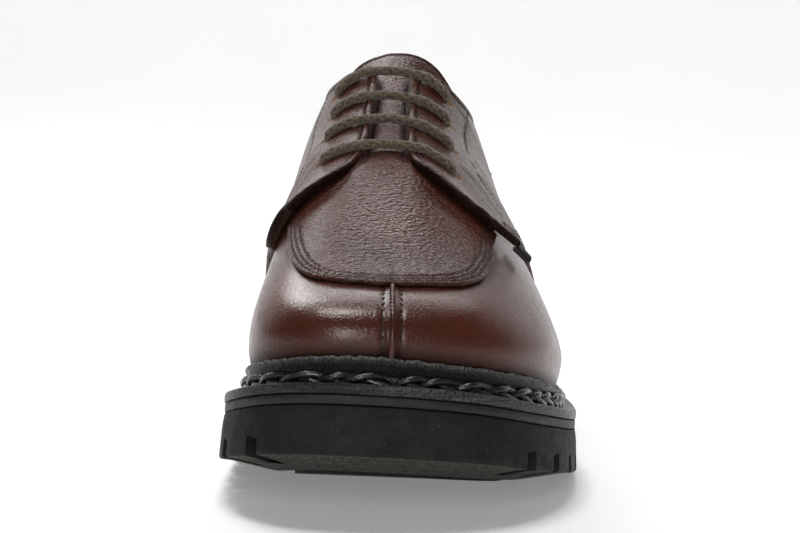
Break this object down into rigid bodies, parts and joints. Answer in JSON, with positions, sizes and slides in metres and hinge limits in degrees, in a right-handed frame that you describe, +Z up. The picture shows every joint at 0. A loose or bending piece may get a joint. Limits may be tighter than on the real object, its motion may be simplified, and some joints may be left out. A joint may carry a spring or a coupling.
{
  "type": "derby shoe",
  "caption": "Left split-toe derby shoe in brown grained leather with a raised apron, open quarters, straight lacing, a black stitched welt and a lugged rubber sole.",
  "frame": {"origin": "on the floor, at the middle of the outsole's length and width", "axes": "+Z up, toe towards -Y, the wearer's outer side towards +X"},
  "size_m": [0.1102, 0.3101, 0.133],
  "materials": {
    "upper_leather": "reddish brown grained leather, waxed and burnished darker near seams",
    "welt_leather": "black satin",
    "sole_rubber": "matte black moulded rubber",
    "lining_leather": "plain tan lining",
    "lace_cord": "dark brown waxed round cord",
    "tag_fabric": "plain black woven tape"
  },
  "bodies": {
    "root": {"outsole": "sole_rubber", "heel": "sole_rubber", "midsole": "welt_leather", "welt": "welt_leather", "insole": "lining_leather", "upper": "upper_leather", "apron": "upper_leather", "toe_seam": "upper_leather", "quarter_lateral": "upper_leather", "quarter_medial": "upper_leather", "tongue": "upper_leather", "side_tag": "tag_fabric", "lace_bar_1": "lace_cord", "lace_bar_2": "lace_cord", "lace_bar_3": "lace_cord", "lace_bar_4": "lace_cord"}
  },
  "joints": []
}
